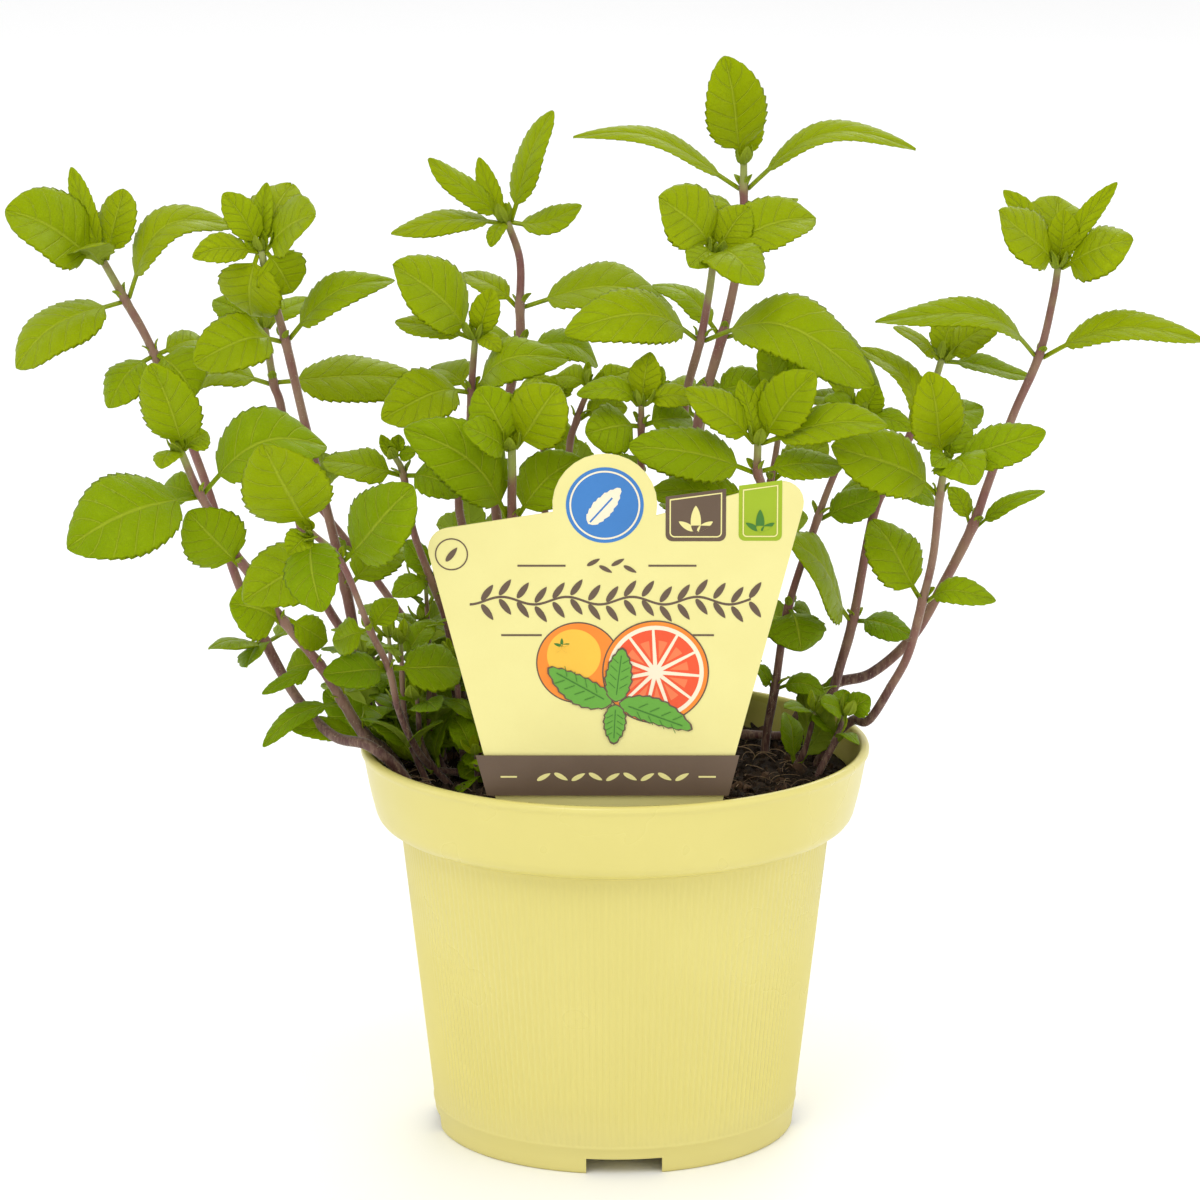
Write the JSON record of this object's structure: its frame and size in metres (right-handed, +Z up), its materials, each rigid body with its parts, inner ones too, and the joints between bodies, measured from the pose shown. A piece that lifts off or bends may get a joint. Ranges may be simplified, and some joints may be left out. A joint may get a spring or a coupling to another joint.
{
  "type": "potted mint plant",
  "caption": "Young mint plant with leafy opposite-leaved stems in a light round nursery pot, with a shaped plant label standing in the soil.",
  "frame": {"origin": "on the ground, on the pot's axis, which is within 2 mm of the middle of the whole plant's box", "axes": "+Z up, -Y towards the side that the label faces, +X to the right as the label is read"},
  "size_m": [0.2861, 0.1465, 0.2561],
  "materials": {
    "pot": "satin",
    "soil": "matte",
    "label": "matte",
    "label_brown": "matte",
    "stem": "matte",
    "leaf": "matte"
  },
  "bodies": {
    "root": {"label_band": "label_brown", "leaf_centre_left_1": "leaf", "leaf_centre_left_2": "leaf", "leaf_centre_left_3": "leaf", "leaf_centre_right_1": "leaf", "leaf_centre_right_2": "leaf", "leaf_centre_right_3": "leaf", "leaf_far_left_1": "leaf", "leaf_far_left_2": "leaf", "leaf_far_left_3": "leaf", "leaf_far_right_1": "leaf", "leaf_far_right_2": "leaf", "leaf_far_right_3": "leaf", "leaf_front_1": "leaf", "leaf_front_2": "leaf", "leaf_front_3": "leaf", "leaf_front_left_1": "leaf", "leaf_front_left_2": "leaf", "leaf_label_right_1": "leaf", "leaf_label_top_1": "leaf", "leaf_left_1": "leaf", "leaf_left_back_1": "leaf", "leaf_right_1": "leaf", "leaf_right_front_1": "leaf", "leaf_tall_centre_1": "leaf", "leaf_tallest_1": "leaf", "leaf_tallest_2": "leaf", "leaf_tallest_3": "leaf", "leaf_tallest_4": "leaf", "plant_label": "label", "pot": "pot", "potting_soil": "soil", "runner": "stem", "stem_back_centre": "stem", "stem_back_far_left": "stem", "stem_back_far_right": "stem", "stem_back_left": "stem", "stem_back_right": "stem", "stem_centre_left": "stem", "stem_centre_right": "stem", "stem_far_left": "stem", "stem_far_right": "stem", "stem_front": "stem", "stem_front_left": "stem", "stem_label_left": "stem", "stem_label_right": "stem", "stem_label_top": "stem", "stem_left": "stem", "stem_left_back": "stem", "stem_mid_back": "stem", "stem_right": "stem", "stem_right_back": "stem", "stem_right_front": "stem", "stem_right_thin": "stem", "stem_rim_shoot": "stem", "stem_short_back": "stem", "stem_short_centre": "stem", "stem_tall_centre": "stem", "stem_tallest": "stem"}
  },
  "joints": []
}
